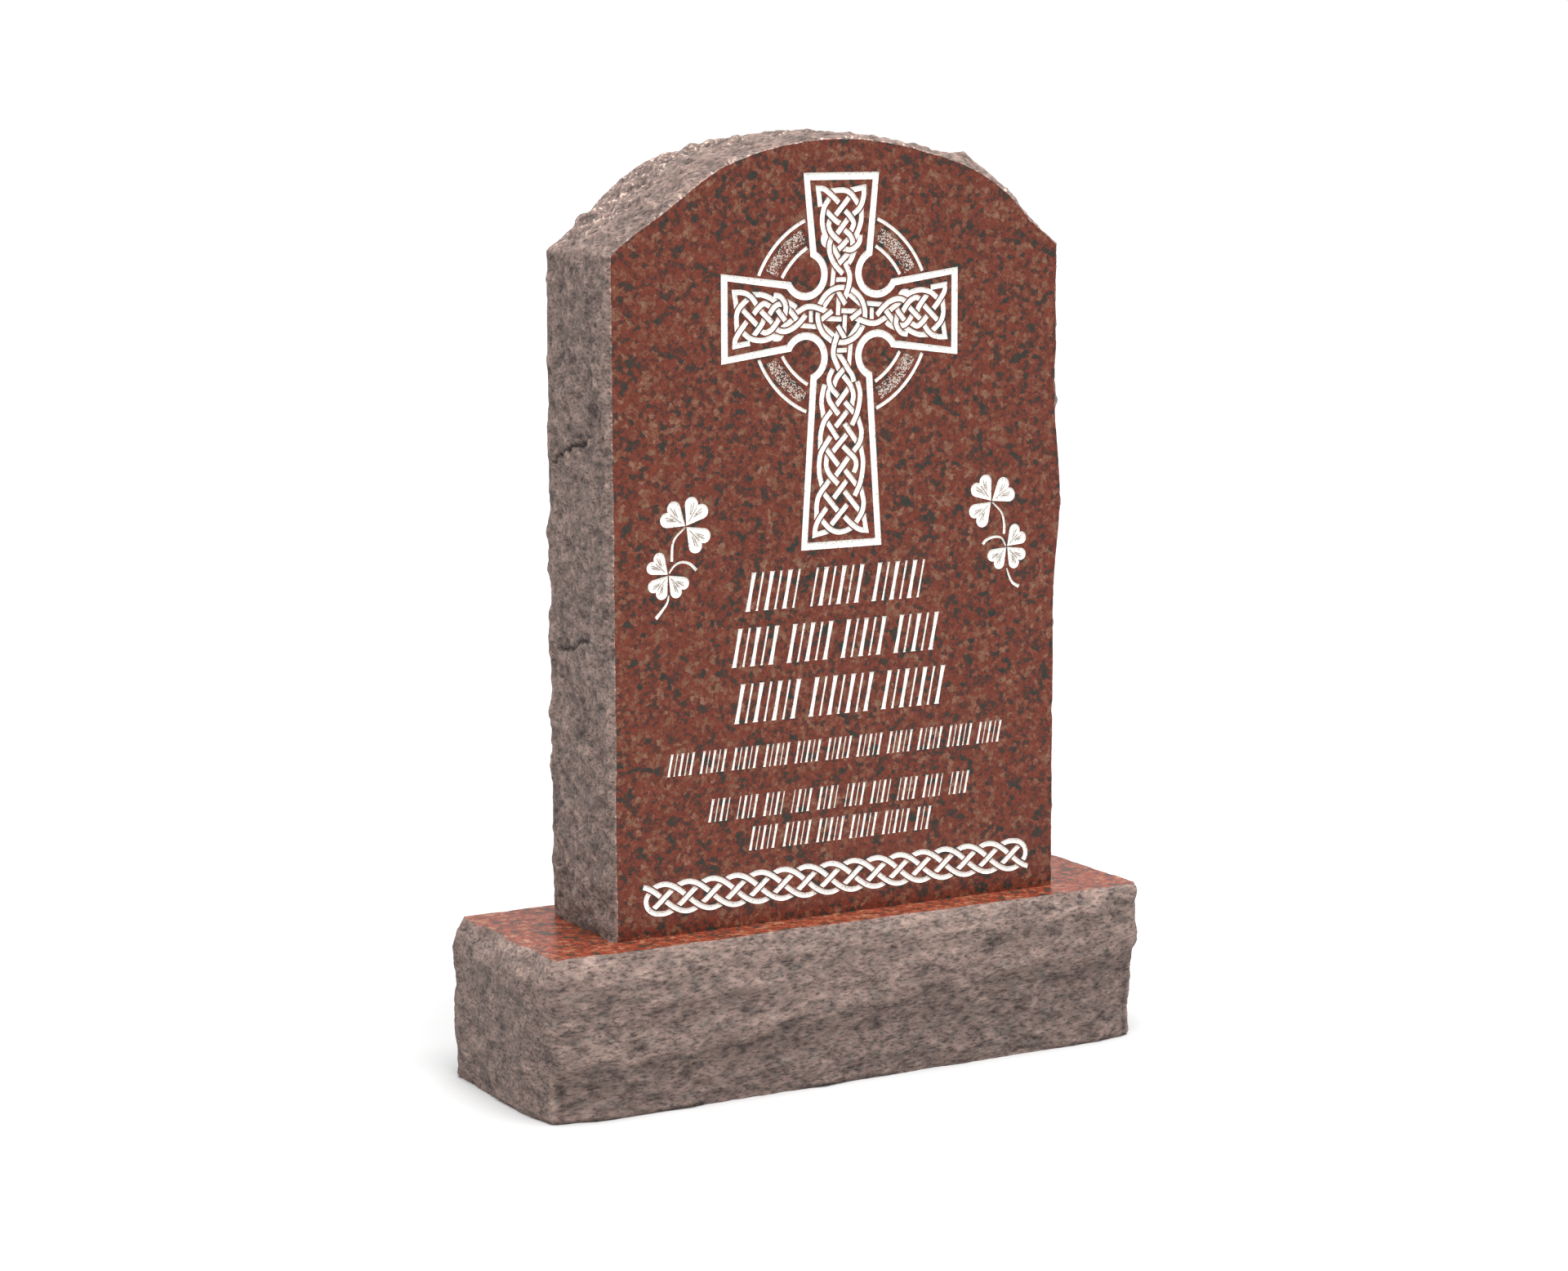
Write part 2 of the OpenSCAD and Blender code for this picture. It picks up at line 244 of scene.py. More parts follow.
# The strand that an end dives under when it is carried on along way to reach: how near it passes, its points
# round there and its width, or None. A straight strand has two points and is divided evenly.
def strandAbove(reach, way, own, lines, pieces):
    k = knotSet
    best = None
    for b, (points, width) in enumerate(pieces):
        if b == own or np.min(np.linalg.norm(lines[b] - reach, axis=1)) > k["search"]:
            continue
        fine = smoothLine(points, k["fineStep"]) if len(points) > 2 else np.linspace(*points, 60)
        far = np.linalg.norm(fine - reach, axis=1)
        at = int(np.argmin(far))
        run = fine[min(at + 1, len(fine) - 1)] - fine[max(at - 1, 0)]
        across = abs(way[0] * run[1] - way[1] * run[0]) / np.linalg.norm(run)
        room = min(np.linalg.norm(fine[at] - fine[0]), np.linalg.norm(fine[at] - fine[-1]))
        passes = far[at] < k["near"] and room > k["room"] and across > k["across"]
        if passes and (best is None or far[at] < best[0]):
            best = (far[at], fine[np.linalg.norm(fine - fine[at], axis=1) < k["span"]][::4], width)
    return best


# Woven strands. Each piece is what shows of a strand between two places where it dives under another. It is
# carried on to the middle of that other strand, and cut back along its edge by a strip as wide as the strand
# and a gap on each side. Returns carved loops and (loop, number of the carved loop it takes from).
def weave(pieces):
    lines = [smoothLine(p) for p, _ in pieces]
    carved, cuts = [], []
    for a, (line, (_, width)) in enumerate(zip(lines, pieces)):
        long = line
        for end, inner in ((0, 1), (-1, -2)):
            way = line[end] - line[inner]
            way /= np.linalg.norm(way)
            reach = line[end] + way * knotSet["reach"]
            best = strandAbove(reach, way, a, lines, pieces)
            if best is not None:
                ahead = np.dot(best[1].mean(0) - reach, way) > 0
                reach = reach + way * knotSet["onward"] * best[0] * ahead
                long = np.vstack([reach, long]) if end == 0 else np.vstack([long, reach])
                cuts.append((ribbon(best[1], best[2] + 2 * knotSet["gap"]), a))
        carved.append(ribbon(long, width))
    return carved, cuts


# Turns points by whole quarter turns about the cross's middle.
def turned(points, quarters):
    p = np.array(points, float)
    for _ in range(quarters % 4):
        p = np.stack([-p[:, 1], p[:, 0]], -1)
    return p


# The crossing's knot, the part that is turned to all four arms: a round strand and what passes it.
crossingKnot = [
    [(32 * math.cos(a), 32 * math.sin(a)) for a in np.radians([80, 98, 116, 134, 152])],
    [(6, 57.6), (10.8, 46.8), (10.2, 35.9), (6.2, 24.2)],
    [(-4, 26.3), (5.2, 12.3)],
    [(10.2, 23.6), (22.7, 13.8)],
    [(-3.9, 16.8), (-4.9, -0.8)],
    [(-10.7, 51.3), (-12.1, 37.4)],
    [(-7.8, 40.9), (6, 40.9)],
]
crossingWidths = [6.0, 6.2, 5.8, 5.2, 5.5, 5.5, 5.2]
# The top arm's pieces, measured from the middle of the cross; the side arms have the same, turned.
armKnot = [
    [(-28.4, 125.2), (-29.6, 135.2), (-31.1, 146.1), (-31.1, 146.1), (-23.6, 145.4), (-16.1, 140.4),
     (-9.4, 134.8), (-3.4, 129.2)],
    [(-9.4, 143.1), (-1.9, 143.7), (5.6, 143.1), (12.2, 139.8), (17.2, 134.4), (21, 129.4)],
    [(16, 144), (30.2, 146.5), (30.2, 146.5), (29.9, 136.9), (27.7, 128.6), (23.1, 121.9), (16, 116.2)],
    [(9.8, 134.8), (-7.1, 116.1)],
    [(-17.3, 133.1), (-22.8, 125.2), (-25.4, 115.2), (-25.7, 106.9), (-23.6, 96.9), (-19.6, 88.1)],
    [(4.8, 120.1), (11.4, 113.6), (16.4, 105.8), (13.5, 98.4)],
    [(-18.6, 118.6), (-11.9, 112.3), (-6.1, 107.7), (-1.2, 105.5)],
    [(-16.1, 107.7), (-17.1, 103.6), (-14.8, 96.9), (-9.4, 90.6), (-2.5, 85.1)],
    [(7.2, 109), (-5.2, 94.8)],
    [(26.8, 116.5), (26.4, 108.6), (23.5, 99.4), (18.9, 90.6)],
    [(5.2, 96.9), (11, 92.3), (14.8, 86.1), (14.8, 81.1)],
    [(-13.6, 88.6), (-16.2, 81.1), (-15.9, 72.7), (-12.3, 63.6), (-6.1, 55.2), (1.8, 47.7)],
    [(-24.2, 92.7), (-24, 84.4), (-19.4, 80.2)],
    [(-9.4, 75.2), (-4.4, 67.3)],
    [(7.9, 86.1), (-4, 75.9)],
    [(25.6, 91.9), (23.9, 83.6), (18.9, 78.1), (12.2, 75), (4.3, 76.1)],
    [(6.8, 69), (-2.3, 60.6)],
    [(15.6, 69.4), (13.1, 64.4), (10.2, 60.6)],
]
# The foot's pieces, with the distance below the middle of the cross.
footKnot = [
    [(-1.7, 47.6), (3.2, 54.2), (9, 63), (14.4, 70.5), (16.9, 78)],
    [(-11.7, 62.2), (-16.2, 70.5), (-16.8, 77.2), (-13.5, 84.7), (-5.6, 93)],
    [(3, 62.8), (-6, 72.2), (-9.5, 79.8)],
    [(2.5, 70.7), (11.9, 81.7), (16.1, 93), (14.4, 103)],
    [(-22.7, 79.7), (-25.6, 89.7), (-26.8, 101.3), (-24.5, 114.7)],
    [(21.3, 78), (25, 89.7), (24.4, 101.3), (21.1, 114.7), (14, 128.8)],
    [(7.8, 87.2), (-6.4, 103.8)],
    [(-18.5, 88.4), (-16.8, 98), (-11.8, 105.5), (-3.9, 115.5)],
    [(4.4, 101.2), (16.1, 113.4)],
    [(7.3, 112.6), (-8.1, 129.7)],
    [(-14.8, 112.2), (-23.7, 123), (-28.1, 137.2), (-28.5, 148)],
    [(-18.1, 125.1), (-5.2, 143.8)],
    [(4, 126.3), (18.2, 145.5)],
    [(6.9, 139.2), (-9.8, 156.3)],
    [(-14.8, 140.6), (-21.8, 149.8), (-28.1, 159.8), (-30.2, 172.3), (-29.8, 184), (-27.2, 194.4)],
    [(-19.8, 155.6), (-5.2, 173.5)],
    [(1.9, 152.7), (11.5, 161.5), (18.6, 169), (19.8, 176.5), (16.7, 184.4)],
    [(23.6, 124), (26.7, 134), (26.7, 143.1), (23.2, 151.5), (17.3, 158.1)],
    [(26.3, 156), (29, 169), (28.6, 182.3), (25.2, 197.3), (17.8, 211.9)],
    [(8.8, 166.9), (-6.4, 185)],
    [(-20.2, 167.7), (-20.6, 174.8), (-16, 184.8), (-4.5, 196.9)],
    [(4.7, 180.8), (19.4, 198.1)],
    [(-17.2, 192.7), (-29.3, 206.9), (-33.3, 218.1), (-33.7, 229.8)],
    [(6.9, 193.5), (-10.6, 213.1)],
    [(-21.8, 209), (-5.2, 228.1)],
    [(4, 205.8), (22.8, 228.1)],
    [(27.5, 207.3), (30, 219), (28.2, 230.6), (20.2, 242.7)],
    [(-20, 223.8), (-30.6, 236.5), (-35.3, 246.5), (-36.2, 254.8), (-36.2, 254.8), (-21, 251.9)],
    [(7.8, 221.5), (-12.7, 242.7)],
    [(-25, 239.6), (-16, 248.5), (-6, 253), (3.2, 252.7), (11.9, 250)],
    [(3.8, 235.5), (14.8, 245.6), (24.8, 251.9), (33.6, 253.5), (33.6, 253.5), (31.1, 240.2)],
]


# All the cross's strands about its middle. A side arm is a little shorter than the top arm, so its outer part
# is drawn in.
def crossStrands():
    w, start = knotSet["width"], knotSet["sideFrom"]
    pieces = [(turned(p, q), cw) for q in range(4) for p, cw in zip(crossingKnot, crossingWidths)]
    pieces += [(np.array(p), w) for p in armKnot]
    for q in (1, 3):
        for p in armKnot:
            p = np.array(p)
            p[:, 1] = np.where(p[:, 1] > start, start + (p[:, 1] - start) * knotSet["sideShare"], p[:, 1])
            pieces.append((turned(p, q), w))
    pieces += [(np.array(p) * (1, -1), w) for p in footKnot]
    return pieces


carving = {"depth": 1.2, "stippleDepth": 0.7, "crossAt": 710.0, "crossTop": 164.0, "crossFoot": 272.0,
           "crossSide": 159.0, "topEnd": 50.5, "footEnd": 54.5, "sideEnd": 51.5, "upright": 41.5, "bar": 40.0,
           "band": 8.5, "armpitAt": 48.0, "armpit": 21.0, "ring": 122.0, "ringWidth": 33.0, "ringLine": 4.0,
           "lineClear": 3.2, "bandClear": 6.5, "bandInset": 2.1, "ringShare": 0.9, "vein": 0.7,
           "borderEnd": 264.6, "borderAt": 44.5, "borderHalf": 17.3, "borderBars": 16, "borderPitch": 31.85}


# The cross's plate as one outline, drawn in by inset: four flared arms, and between each two a round armpit
# whose circle is met by the arms' straight sides. Worked out for one armpit and mirrored.
def crossPlate(inset):
    c = carving
    r = c["armpit"] + inset
    m = c["armpitAt"]
    root = m + c["armpit"]

    # The line of an arm's side, from the end corner in to the root, and where it enters the armpit's circle.
    def enters(end, foot, waist, turnedOver):
        a = np.array([end - inset, foot - inset])
        b = np.array([waist - inset, root])
        a, b = (a[::-1], b[::-1]) if turnedOver else (a, b)
        d = (b - a) / np.linalg.norm(b - a)
        off = a - m
        along = -np.dot(off, d) - math.sqrt(max(0, np.dot(off, d) ** 2 - np.dot(off, off) + r * r))
        return a, a + d * along

    def quarter(end, foot):
        upEnd, upIn = enters(end, foot, c["upright"], False)
        sideEnd, sideIn = enters(c["sideEnd"], c["crossSide"], c["bar"], True)
        start = math.atan2(*(upIn - m)[::-1])
        stop = math.atan2(*(sideIn - m)[::-1])
        stop = stop if stop < start else stop - 2 * math.pi
        start, stop = (start, stop + 2 * math.pi) if stop < start - math.pi * 1.7 else (start, stop)
        arc = np.linspace(start, start + (2 * math.pi - (start - stop)) % (2 * math.pi), 30)
        ring = m + r * np.stack([np.cos(arc), np.sin(arc)], -1)
        return np.vstack([upEnd, ring, sideEnd])

    ne = quarter(c["topEnd"], c["crossTop"])
    se = quarter(c["footEnd"], c["crossFoot"]) * (1, -1)
    return np.vstack([ne, se[::-1], se * (-1, 1), ne[::-1] * (-1, 1)])


# A circle's arc between two angles as a closed ring sector from one radius to another.
def ringSector(inner, outer, start, stop, steps=26):
    a = np.linspace(start, stop, steps)[:, None]
    way = np.hstack([np.cos(a), np.sin(a)])
    return np.vstack([way * outer, way[::-1] * inner])


# A heart-shaped leaf of length 1 along +x from its stem: two round lobes joined to the stem by their
# tangents.
def leafOutline():
    lobe, r = np.array([0.72, 0.225]), 0.25
    start = math.atan2(lobe[1], lobe[0]) + math.asin(r / np.hypot(*lobe)) + math.pi / 2
    stop = -math.acos(math.sqrt(r * r - lobe[1] ** 2) / r)
    a = np.linspace(start, stop, 14)[:, None]
    upper = lobe + r * np.hstack([np.cos(a), np.sin(a)])
    return np.vstack([[(0.03, 0)], upper, upper[-2::-1] * (1, -1)])


# Fine uncut veins in a leaf: a slit down the middle and shorter ones that fan out into the lobes.
def leafVeins():
    fan = [(0.2, 0.0, 0.72, 0.0)] + [(0.42 + 0.05 * k, s * 0.07, 0.72 + 0.05 * k, s * (0.24 - 0.03 * k))
                                     for s in (-1, 1) for k in (0, 2)]
    return [np.array([(a, b), (c, d)]) for a, b, c, d in fan]


sprigSet = {
    "left": {"shamrocks": [(-206.0, 475.9, 34.5, (56, 144, -45)), (-229.3, 421.4, 29.5, (138, -130, -46))],
             "stems": [([(-207, 475), (-222, 460), (-224.7, 436.5)], 1.8, 3.6),
                       ([(-228.3, 423.4), (-220.5, 432.2), (-210.7, 435.1), (-200.9, 432.2),
                         (-193, 424.8)], 1.8, 3.8),
                       ([(-228.8, 398), (-231.7, 388), (-245.5, 372.3)], 1.8, 4.2)]},
    "right": {"shamrocks": [(208.5, 480.3, 34, (127, 33, -138)), (230.8, 424.3, 29.5, (43, -137, -45))],
              "stems": [([(210, 478.8), (222.8, 466), (226.8, 452.1), (226.7, 440.1)], 1.8, 3.6),
                        ([(229.3, 425.3), (223, 435.1), (212.2, 437), (201.4, 434.1),
                          (196.5, 429.2)], 1.8, 3.8),
                        ([(230.8, 398), (235.7, 385.7), (240.6, 378.9), (248.4, 374.8)], 1.8, 4.2)]},
}
# Each row: middle height, length of the strokes, half-length of the row, strokes and gap of each group.
strokeRows = [(394.2, 45, 126, 7), (329.8, 45, 141, 6), (264.0, 46, 139, 8),
              (200.0, 26, 229, 6), (142.0, 27, 175, 5), (103.4, 28, 121, 6)]
strokeSet = {"wide": 5.4, "thin": 2.6, "pitch": 0.27, "lean": 0.2}


# Slanted strokes in groups, broad and narrow by turns, each a little waisted in the middle.
def strokeLoops():
    loops = []
    for middle, height, half, group in strokeRows:
        pitch = height * strokeSet["pitch"]
        steps = int(2 * half / pitch)
        for i in range(steps + 1):
            if i % group == group - 1:
                continue
            w = (strokeSet["wide"] if i % 2 == 0 else strokeSet["thin"]) * height / 45
            y = np.array([-0.5, -0.46, 0.0, 0.46, 0.5])
            reach = w / 2 * np.array([1.35, 1.0, 0.8, 1.0, 1.35])
            x = (i - steps / 2) * pitch + y * height * strokeSet["lean"]
            y = middle + y * height
            loops.append(np.vstack([np.stack([x - reach, y], -1), np.stack([x + reach, y], -1)[::-1]]))
    return loops


# The knot border: four strands, each a sine with a quarter wave from one bar to the next. Bars show over the
# middle, and arcs run from under one strand, over the next and down under a bar. At each end the half bar
# turns round into the arc on the other side.
def borderStrands():
    c = carving
    pitch, half, at = c["borderPitch"], c["borderHalf"], c["borderAt"]
    first = -(c["borderBars"] - 1) / 2 * pitch

    def wave(bar, start, stop):
        u = np.linspace(start, stop, max(3, int(8 * (stop - start)) + 1))
        return np.stack([first + (bar + u) * pitch, half * np.sin(u * math.pi / 2)], -1)

    pieces = [wave(i, -0.36, 0.36) for i in range(c["borderBars"])]
    half2 = []
    for i in range(-2, c["borderBars"]):
        if i == c["borderBars"] - 2:
            continue
        low = max(0.66, (-c["borderEnd"] - first) / pitch - i)
        high = min(1.86, (c["borderEnd"] - first) / pitch - i)
        if high - low > 0.15:
            half2.append(wave(i, low, high))
    end = -c["borderEnd"]
    lowArc = wave(1, -1.0, -0.66)
    loop = np.vstack([[(end + 10.4, 0.66 * half), (end + 4.9, 0.30 * half), (end + 3.4, -0.12 * half),
                       (end + 6.2, -0.56 * half), (end + 14.0, -0.9 * half)], lowArc])
    half2.append(-loop)
    pieces += half2 + [-p for p in half2]
    return [(p + (0, at), knotSet["width"]) for p in pieces]


# The ring between the arms: in each quarter two painted lines, kind 1, and the stippled band between them,
# kind 2. An arc stops clear of the arms' flared sides, whose width is taken at a share of its radius.
def ringLoops():
    c = carving
    outer, inner, line = c["ring"], c["ring"] - c["ringWidth"], c["ringLine"]
    root, inset = c["armpitAt"] + c["armpit"], c["bandInset"] * line
    loops = []
    for sx, sy in ((1, 1), (-1, 1), (1, -1), (-1, -1)):
        end, reach = (c["topEnd"], c["crossTop"]) if sy > 0 else (c["footEnd"], c["crossFoot"])
        for r0, r1, clear, kind in ((outer - line, outer, c["lineClear"], 1),
                                    (inner, inner + line, c["lineClear"], 1),
                                    (inner + inset, outer - inset, c["bandClear"], 2)):
            middle = (r0 + r1) / 2
            along = middle * c["ringShare"] - root
            upright = c["upright"] + (end - c["upright"]) * along / (reach - root)
            bar = c["bar"] + (c["sideEnd"] - c["bar"]) * along / (c["crossSide"] - root)
            start, stop = math.asin((bar + clear) / middle), math.acos((upright + clear) / middle)
            loops.append((ringSector(r0, r1, start, stop) * (sx, sy), kind))
    return loops


# Every loop of the face: (loop, kind, -1), with kind 1 for paint and 2 for stipple, or (loop, 0, the number
# of the loop that it takes from).
def carvedLoops():
    c = carving
    shift = np.array([0, c["crossAt"]])
    loops = [(crossPlate(0) + shift, 1, -1)]
    loops.append((crossPlate(c["band"]) + shift, 0, 0))
    carved, cuts = weave([(p + shift, w) for p, w in crossStrands()] + borderStrands())
    first = len(loops)
    loops += [(q, 1, -1) for q in carved] + [(q, 0, first + a) for q, a in cuts]
    loops += [(q + shift, kind, -1) for q, kind in ringLoops()]
    leaf, veins = leafOutline(), leafVeins()
    for side in sprigSet.values():
        for x, y, length, angles in side["shamrocks"]:
            for angle in np.radians(angles):
                spin = np.array([[math.cos(angle), math.sin(angle)], [-math.sin(angle), math.cos(angle)]])
                loops.append((leaf @ spin * length + (x, y), 1, -1))
                owner = len(loops) - 1
                loops += [(ribbon(v @ spin * length + (x, y), c["vein"]), 0, owner) for v in veins]
        for points, thin, wide in side["stems"]:
            line = smoothLine(points)
            loops.append((ribbon(line, np.linspace(thin, wide, len(line))), 1, -1))
    return loops + [(q, 1, -1) for q in strokeLoops()]


# Adds a node and fills its inputs: another node's output is linked, anything else is set.
def addNode(tree, kind, inputs=None, **settings):
    node = tree.nodes.new("ShaderNode" + kind)
    for key, value in settings.items():
        setattr(node, key, value)
    for key, value in (inputs or {}).items():
        socket = node.inputs[key]
        if isinstance(value, bpy.types.NodeSocket):
            tree.links.new(value, socket)
        else:
            socket.default_value = value
    return node


# Two colours mixed by factor, or blended in another way.
def mixColour(tree, factor, a, b, blend="MIX"):
    node = addNode(tree, "Mix", {0: factor, 6: a, 7: b}, data_type="RGBA", blend_type=blend)
    return node.outputs[2]


# One step of arithmetic on two values or sockets.
def calc(tree, operation, a, b):
    return addNode(tree, "Math", {0: a, 1: b}, operation=operation).outputs[0]


# A colour looked up along stops of (place from 0 to 1, colour).
def colourRamp(tree, factor, stops, interpolation="LINEAR"):
    node = addNode(tree, "ValToRGB", {"Fac": factor})
    ramp = node.color_ramp
    ramp.interpolation = interpolation
    while len(ramp.elements) < len(stops):
        ramp.elements.new(0.5)
    for element, (at, colour) in zip(ramp.elements, stops):
        element.position = at
        element.color = colour
    return node.outputs["Color"]


# A noise texture's value at the coordinates.
def cloud(tree, at, scale, detail, roughness=0.5):
    inputs = {"Vector": at, "Scale": scale, "Detail": detail, "Roughness": roughness}
    return addNode(tree, "TexNoise", inputs).outputs["Fac"]


# A colour from the display's 0 to 255 as the linear one that nodes take.
def tint(r, g, b):
    return tuple((v / 255 / 12.92) if v / 255 <= 0.04045 else ((v / 255 + 0.055) / 1.055) ** 2.4
                 for v in (r, g, b)) + (1.0,)


granite = {"grain": 6.4, "speck": 3.0, "patch": 21.0, "wobble": 4.0,
           "minerals": [(0.0, tint(28, 36, 32)), (0.2, tint(46, 43, 36)), (0.31, tint(60, 36, 28)),
                        (0.4, tint(90, 36, 24)), (0.52, tint(108, 46, 30)), (0.62, tint(86, 41, 29)),
                        (0.74, tint(114, 62, 46)), (0.86, tint(98, 74, 54)), (1.0, tint(128, 88, 72))]}


# Granite's colours: two sizes of irregular grains, each cell's own random number shifted by broad patches and
# looked up among the minerals. Returns the colour and the coordinates in millimetres.
def graniteColour(tree):
    g = granite
    place = addNode(tree, "TexCoord").outputs["Object"]
    coords = addNode(tree, "VectorMath", {0: place, "Scale": 1 / mm}, operation="SCALE").outputs[0]
    wobble = addNode(tree, "TexNoise", {"Vector": coords, "Scale": 0.3, "Detail": 3.0})
    push = addNode(tree, "VectorMath", {0: wobble.outputs["Color"], 1: (0.5, 0.5, 0.5)}, operation="SUBTRACT")
    push = addNode(tree, "VectorMath", {0: push.outputs[0], "Scale": 2 * g["wobble"]}, operation="SCALE")
    bent = addNode(tree, "VectorMath", {0: coords, 1: push.outputs[0]}, operation="ADD").outputs[0]
    grains = {"Vector": bent, "Scale": 1 / g["grain"], "Smoothness": 0.35}
    big = addNode(tree, "TexVoronoi", grains, feature="SMOOTH_F1")
    small = addNode(tree, "TexVoronoi", {"Vector": bent, "Scale": 1 / g["speck"]})
    bigOwn = addNode(tree, "SeparateColor", {0: big.outputs["Color"]}).outputs[0]
    smallOwn = addNode(tree, "SeparateColor", {0: small.outputs["Color"]}).outputs[0]
    grain = calc(tree, "ADD", calc(tree, "MULTIPLY", bigOwn, 0.64), calc(tree, "MULTIPLY", smallOwn, 0.36))
    drift = calc(tree, "MULTIPLY", calc(tree, "SUBTRACT", cloud(tree, coords, 1 / g["patch"], 3), 0.47), 0.8)
    colour = colourRamp(tree, calc(tree, "ADD", grain, drift), g["minerals"])
    return colour, coords


# A new material, its node tree and its main shader.
def newMaterial(name, roughness, specular=0.5):
    material = bpy.data.materials.new(name)
    material.use_nodes = True
    tree = material.node_tree
    shader = tree.nodes["Principled BSDF"]
    shader.inputs["Roughness"].default_value = roughness
    shader.inputs["Specular IOR Level"].default_value = specular
    return material, tree, shader


# Polished stone: the plain minerals, made stronger by saturation and value, under a soft gloss.
def polishedGranite(name, saturation, value, specular):
    material, tree, shader = newMaterial(name, 0.32, specular)
    colour, _ = graniteColour(tree)
    strong = addNode(tree, "HueSaturation", {"Saturation": saturation, "Value": value, "Color": colour})
    tree.links.new(strong.outputs[0], shader.inputs["Base Color"])
    return material


# The crushed stone's colour is multiplied by each layer, (stretch, turn, cloud's scale, detail and roughness,
# ramp of factors), and by a ramp of the wear and painted light: dark for painted shade, pale to white for
# chips and painted highlights.
rock = {"body": tint(127, 110, 101), "bump": 1.3,
        "layers": [((0.7, 0.7, 1.3), 0.35, (0.055, 7, 0.7),
                    [(0.33, (0.4, 0.4, 0.41, 1)), (0.5, (1, 1, 1, 1)), (0.67, (1.38, 1.37, 1.36, 1))]),
                   ((0.35, 0.6, 1), 0.45, (0.34, 4, 0.65),
                    [(0.36, (0.38, 0.37, 0.38, 1)), (0.5, (1, 1, 1, 1)), (0.66, (1.22, 1.21, 1.2, 1))])],
        "worn": [(0.0, (0.28, 0.27, 0.28, 1)), (0.28, (0.72, 0.71, 0.72, 1)), (0.5, (1, 1, 1, 1)),
                 (0.8, (1.4, 1.39, 1.38, 1)), (1.0, (3.4, 3.5, 3.5, 1))]}


# Rock-pitched stone: the minerals crushed to a pale brownish grey, with long soft mottling, painted shade
# darker in hollows and painted highlights paler on ridges, by the attribute of wear and painted light.
def pitchedGranite():
    material, tree, shader = newMaterial("rock-pitched granite", 0.85, 0.3)
    colour, coords = graniteColour(tree)
    crushed = mixColour(tree, 0.7, colour, rock["body"])
    body = addNode(tree, "HueSaturation", {"Saturation": 0.8, "Value": 1.0, "Color": crushed}).outputs[0]
    for stretch, turn, clouds, ramp in rock["layers"]:
        at = addNode(tree, "Mapping", {"Vector": coords, "Scale": stretch, "Rotation": (0, turn, 0)})
        shade = colourRamp(tree, cloud(tree, at.outputs[0], *clouds), ramp)
        body = mixColour(tree, 1.0, body, shade, "MULTIPLY")
    wearAndPaintedLight = addNode(tree, "Attribute", attribute_name="wearAndPaintedLight").outputs["Fac"]
    body = mixColour(tree, 1.0, body, colourRamp(tree, wearAndPaintedLight, rock["worn"]), "MULTIPLY")
    tree.links.new(body, shader.inputs["Base Color"])
    fine = cloud(tree, coords, 0.3, 6, 0.7)
    bump = addNode(tree, "Bump", {"Height": fine, "Strength": 1.0, "Distance": rock["bump"] * mm})
    tree.links.new(bump.outputs["Normal"], shader.inputs["Normal"])
    return material


# White paint with fine darker specks where it has worn thin.
def whitePaint():
    material, tree, shader = newMaterial("white paint", 0.7)
    place = addNode(tree, "TexCoord").outputs["Object"]
    colour = colourRamp(tree, cloud(tree, place, 420, 3, 0.6),
                        [(0.34, tint(176, 164, 152)), (0.43, tint(232, 231, 226)), (1, tint(238, 237, 233))])
    tree.links.new(colour, shader.inputs["Base Color"])
    return material


# Stippled stone: small round pecks, each dark or pale by its own random number, paler towards the ring's
# outer edge by the distance from the cross's middle.
def stippledStone():
    material, tree, shader = newMaterial("stippled granite", 0.8)
    colour, coords = graniteColour(tree)
    middle = (0.0, 0.0, carving["crossAt"] + tabletFoot)
    away = addNode(tree, "VectorMath", {0: coords, 1: middle}, operation="SUBTRACT").outputs[0]
    away = addNode(tree, "VectorMath", {0: away, 1: (1.0, 0.0, 1.0)}, operation="MULTIPLY").outputs[0]
    radius = addNode(tree, "VectorMath", {0: away}, operation="LENGTH").outputs["Value"]
    outward = calc(tree, "DIVIDE", calc(tree, "SUBTRACT", radius, carving["ring"] - carving["ringWidth"]),
                   carving["ringWidth"])
    dots = addNode(tree, "TexVoronoi", {"Vector": coords, "Scale": 0.62})
    own = addNode(tree, "SeparateColor", {0: dots.outputs["Color"]}).outputs[0]
    lit = calc(tree, "ADD", own, calc(tree, "MULTIPLY", calc(tree, "SUBTRACT", outward, 0.5), 0.7))
    pecked = colourRamp(tree, lit, [(0.2, (0, 0, 0, 1)), (0.55, (1, 1, 1, 1))])
    round01 = calc(tree, "LESS_THAN", dots.outputs["Distance"], 0.52)
    share = calc(tree, "MULTIPLY", pecked, round01)
    body = mixColour(tree, share, colour, tint(196, 186, 176))
    tree.links.new(body, shader.inputs["Base Color"])
    return material


polished = polishedGranite("polished granite", 1.0, 1.0, 0.25)
# The base's top is a copy of the same granite with value raised to 1.6 and little gloss: painted lighter for
# the light falling on it from above.
polishedTopLitCopy = polishedGranite("polished granite top painted lighter", 1.0, 1.6, 0.06)
pitched, paint, stippled = pitchedGranite(), whitePaint(), stippledStone()
print("materials made")


# A hump of height 1 around c, by cosine squared, that ends w away from it.
def hump(x, c, w):
    return np.where(np.abs(x - c) < w, np.cos(np.pi / 2 * (x - c) / w) ** 2, 0)


# How far an arris stands in: a few long bites, many short ones and a fine saw edge.
def arrisLoss(p, depth, seed):
    long = np.maximum(0, fractal(p, 70, 2, seed)) ** 1.2
    short = np.maximum(0, noise(p / 17, seed + 7) - 0.1) ** 1.2
    saw = np.abs(noise(p / 4.5, seed + 9))
    return depth * (0.9 * long + 0.8 * short + 0.22 * saw)


# A grid of heights, softened by a share of each point's four neighbours, a few times over.
def softened(grid, times):
    grid = grid.copy()
    for _ in range(times):
        inner = (grid[:-2, 1:-1] + grid[2:, 1:-1] + grid[1:-1, :-2] + grid[1:-1, 2:]) / 4
        grid[1:-1, 1:-1] = 0.4 * grid[1:-1, 1:-1] + 0.6 * inner
    return grid


